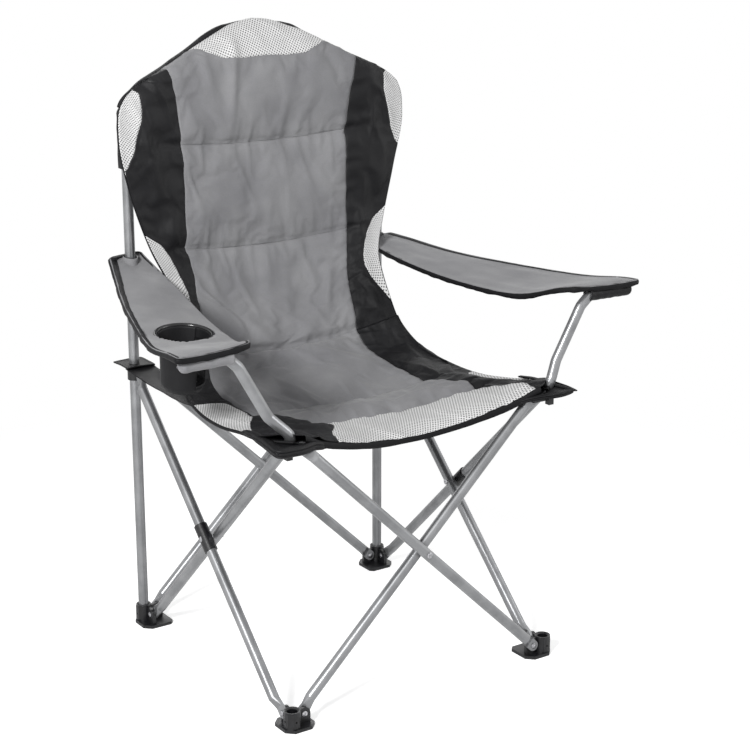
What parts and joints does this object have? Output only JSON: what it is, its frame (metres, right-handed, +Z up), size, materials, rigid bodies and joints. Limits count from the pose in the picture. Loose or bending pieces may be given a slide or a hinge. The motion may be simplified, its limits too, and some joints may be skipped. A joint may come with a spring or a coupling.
{
  "type": "folding chair",
  "caption": "Camping armchair with crossed tube legs that folds into a bundle, with a padded sling seat, cloth armrests and a net cup holder.",
  "frame": {"origin": "on the floor in the middle of the four feet, chair open", "axes": "+Z up, -Y towards the front of the seat, +X to the right when facing the chair"},
  "size_m": [0.794, 0.5148, 0.9515],
  "materials": {
    "silver_paint": "semi-gloss powder coat on steel tube",
    "rivet_steel": "zinc-plated rivets",
    "black_plastic": "moulded nylon, fine grain",
    "black_cloth": "woven polyester",
    "grey_cloth": "woven polyester",
    "black_mesh": "polyester mesh",
    "black_binding": "binding tape over a plastic ring"
  },
  "bodies": {
    "rear_left": {"foot_rear_left": "black_plastic", "post_left": "silver_paint", "rivets_foot_rear_left": "rivet_steel", "back_cloth": "black_cloth", "back_pad": "grey_cloth", "pocket_left": "black_cloth"},
    "arm_tube_left": {"arm_bar_left": "silver_paint", "rivet_cross_left": "rivet_steel", "armrest_left": "grey_cloth", "cup_rim_ring": "black_binding", "cup_net": "black_mesh"},
    "bar_left": {"bar_left_outer": "silver_paint", "saddle_left": "black_plastic"},
    "foot_front_left": {"foot_front_left": "black_plastic", "rivets_foot_front_left": "rivet_steel"},
    "slider_left": {"slider_left": "black_plastic", "rivets_slider_left": "rivet_steel", "patch_rear_left": "black_cloth", "gusset_left": "black_cloth"},
    "bracket_left": {"bracket_left": "black_plastic", "rivets_bracket_left": "rivet_steel", "patch_front_left": "black_cloth"},
    "bar_front_inner": {"bar_front_inner": "silver_paint", "rivet_cross_front": "rivet_steel"},
    "bar_front_outer": {"bar_front_outer": "silver_paint"},
    "foot_front_right": {"foot_front_right": "black_plastic", "rivets_foot_front_right": "rivet_steel"},
    "bar_rear_outer": {"bar_rear_outer": "silver_paint", "rivet_cross_rear": "rivet_steel"},
    "bar_rear_inner": {"bar_rear_inner": "silver_paint"},
    "rear_right": {"foot_rear_right": "black_plastic", "rivets_foot_rear_right": "rivet_steel", "post_right": "silver_paint", "pocket_right": "black_cloth"},
    "arm_tube_right": {"arm_bar_right": "silver_paint", "rivet_cross_right": "rivet_steel", "saddle_right": "black_plastic", "armrest_right": "grey_cloth"},
    "bar_right": {"bar_right_inner": "silver_paint"},
    "slider_right": {"slider_right": "black_plastic", "rivets_slider_right": "rivet_steel", "patch_rear_right": "black_cloth", "gusset_right": "black_cloth"},
    "bracket_right": {"bracket_right": "black_plastic", "rivets_bracket_right": "rivet_steel", "patch_front_right": "black_cloth"},
    "seat_rear": {"seat_cloth_rear": "black_cloth", "seat_pad_rear": "grey_cloth"},
    "seat_front": {"seat_cloth_front": "black_cloth", "seat_pad_front": "grey_cloth"}
  },
  "joints": [
    {"name": "fold", "type": "hinge", "parent": "rear_left", "child": "arm_tube_left", "pos_m": [-0.22589, 0.20789, 0.019], "axis": [-1, 0, 0], "range_deg": [0, 38], "deforming": ["back_cloth", "back_pad", "pocket_left", "pocket_right", "armrest_left", "armrest_right", "cup_rim_ring", "cup_net", "patch_rear_left", "patch_rear_right", "patch_front_left", "patch_front_right", "gusset_left", "gusset_right", "seat_cloth_rear", "seat_pad_rear", "seat_cloth_front", "seat_pad_front"]},
    {"name": "cross_left", "type": "hinge", "parent": "arm_tube_left", "child": "bar_left", "pos_m": [-0.22589, 0, 0.21976], "axis": [1, 0, 0], "range_deg": [0, 76]},
    {"name": "foot_left", "type": "hinge", "parent": "bar_left", "child": "foot_front_left", "pos_m": [-0.22589, -0.20789, 0.019], "axis": [-1, 0, 0], "range_deg": [0, 38]},
    {"name": "slide_left", "type": "hinge", "parent": "bar_left", "child": "slider_left", "pos_m": [-0.22589, 0.20789, 0.42051], "axis": [-1, 0, 0], "range_deg": [0, 38]},
    {"name": "corner_left", "type": "hinge", "parent": "arm_tube_left", "child": "bracket_left", "pos_m": [-0.22589, -0.20789, 0.42051], "axis": [1, 0, 0], "range_deg": [0, 38]},
    {"name": "foot_front", "type": "hinge", "parent": "foot_front_left", "child": "bar_front_inner", "pos_m": [-0.20789, -0.22589, 0.019], "axis": [0, -1, 0], "range_deg": [0, 38]},
    {"name": "cross_front", "type": "hinge", "parent": "bar_front_inner", "child": "bar_front_outer", "pos_m": [0, -0.22589, 0.21976], "axis": [0, 1, 0], "range_deg": [0, 76]},
    {"name": "foot_right", "type": "hinge", "parent": "bar_front_outer", "child": "foot_front_right", "pos_m": [0.20789, -0.22589, 0.019], "axis": [0, -1, 0], "range_deg": [0, 38]},
    {"name": "foot_rear", "type": "hinge", "parent": "rear_left", "child": "bar_rear_outer", "pos_m": [-0.20789, 0.22589, 0.019], "axis": [0, -1, 0], "range_deg": [0, 38]},
    {"name": "cross_rear", "type": "hinge", "parent": "bar_rear_outer", "child": "bar_rear_inner", "pos_m": [0, 0.22589, 0.21976], "axis": [0, 1, 0], "range_deg": [0, 76]},
    {"name": "foot_rear_right", "type": "hinge", "parent": "bar_rear_inner", "child": "rear_right", "pos_m": [0.20789, 0.22589, 0.019], "axis": [0, -1, 0], "range_deg": [0, 38]},
    {"name": "arm_right", "type": "hinge", "parent": "rear_right", "child": "arm_tube_right", "pos_m": [0.22589, 0.20789, 0.019], "axis": [-1, 0, 0], "range_deg": [0, 38]},
    {"name": "cross_right", "type": "hinge", "parent": "arm_tube_right", "child": "bar_right", "pos_m": [0.22589, 0, 0.21976], "axis": [1, 0, 0], "range_deg": [0, 76]},
    {"name": "slide_right", "type": "hinge", "parent": "bar_right", "child": "slider_right", "pos_m": [0.22589, 0.20789, 0.42051], "axis": [-1, 0, 0], "range_deg": [0, 38]},
    {"name": "corner_right", "type": "hinge", "parent": "arm_tube_right", "child": "bracket_right", "pos_m": [0.22589, -0.20789, 0.42051], "axis": [1, 0, 0], "range_deg": [0, 38]},
    {"name": "seat_rear_fold", "type": "hinge", "parent": "slider_left", "child": "seat_rear", "pos_m": [-0.22589, 0.20789, 0.43251], "axis": [1, 0, 0], "range_deg": [0, 83.6]},
    {"name": "seat_front_fold", "type": "hinge", "parent": "bracket_left", "child": "seat_front", "pos_m": [-0.22589, -0.20789, 0.43051], "axis": [-1, 0, 0], "range_deg": [0, 83.6]}
  ],
  "couplings": [
    {"joint": "cross_left", "follows": "fold", "ratio": 2},
    {"joint": "foot_left", "follows": "fold", "ratio": 1},
    {"joint": "slide_left", "follows": "fold", "ratio": 1},
    {"joint": "corner_left", "follows": "fold", "ratio": 1},
    {"joint": "foot_front", "follows": "fold", "ratio": 1},
    {"joint": "cross_front", "follows": "fold", "ratio": 2},
    {"joint": "foot_right", "follows": "fold", "ratio": 1},
    {"joint": "foot_rear", "follows": "fold", "ratio": 1},
    {"joint": "cross_rear", "follows": "fold", "ratio": 2},
    {"joint": "foot_rear_right", "follows": "fold", "ratio": 1},
    {"joint": "arm_right", "follows": "fold", "ratio": 1},
    {"joint": "cross_right", "follows": "fold", "ratio": 2},
    {"joint": "slide_right", "follows": "fold", "ratio": 1},
    {"joint": "corner_right", "follows": "fold", "ratio": 1},
    {"joint": "seat_rear_fold", "follows": "fold", "ratio": 2.2},
    {"joint": "seat_front_fold", "follows": "fold", "ratio": 2.2}
  ]
}
